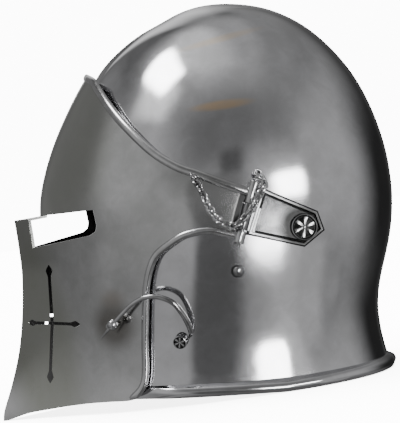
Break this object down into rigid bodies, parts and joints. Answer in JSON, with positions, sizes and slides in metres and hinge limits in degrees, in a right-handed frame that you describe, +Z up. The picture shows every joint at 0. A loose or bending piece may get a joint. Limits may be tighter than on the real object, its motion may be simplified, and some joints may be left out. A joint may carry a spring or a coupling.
{
  "type": "visored barbuta helmet",
  "caption": "Steel barbuta helmet with a lifting visor, stepped sights, cross-shaped breaths, side hinges with chained pins and a swinging hook latch.",
  "frame": {"origin": "centre of the bounding box's bottom face, on the floor", "axes": "-Y the way the helmet faces, +X the wearer's left, +Z up"},
  "size_m": [0.227, 0.3008, 0.2742],
  "materials": {
    "polished_bowl": "mirror-polished steel, lightly brushed",
    "polished_visor": "polished steel, satin on the beak",
    "worn_plate": "worn, mottled steel",
    "rivet_steel": "domed and cut steel, dark in the recesses",
    "chain_steel": "plain steel wire",
    "hook_steel": "polished forged steel",
    "pin_steel": "plain steel"
  },
  "bodies": {
    "helmet": {"skull": "polished_bowl", "pivot_rosette_left": "rivet_steel", "pivot_rosette_right": "rivet_steel", "strap_rivet_left": "rivet_steel", "strap_rivet_right": "rivet_steel", "hook_rosette": "rivet_steel"},
    "visor_group": {"visor": "polished_visor", "pivot_plate_left": "worn_plate", "pivot_plate_right": "worn_plate", "hinge_pin_left": "pin_steel", "hinge_pin_right": "pin_steel", "chain_staple_left": "chain_steel", "chain_staple_right": "chain_steel", "chain_left": "chain_steel", "chain_right": "chain_steel", "hook_catch": "hook_steel"},
    "hook_arm": {"hook": "hook_steel"}
  },
  "joints": [
    {"name": "visor_lift", "type": "hinge", "parent": "helmet", "child": "visor_group", "pos_m": [0, 0.0686, 0.1105], "axis": [-1, 0, 0], "range_deg": [0, 72]},
    {"name": "hook_swing", "type": "hinge", "parent": "helmet", "child": "hook_arm", "pos_m": [0.0803, -0.0226, 0.0449], "axis": [-0.9044, 0.3618, 0.2261], "range_deg": [0, 85]}
  ]
}
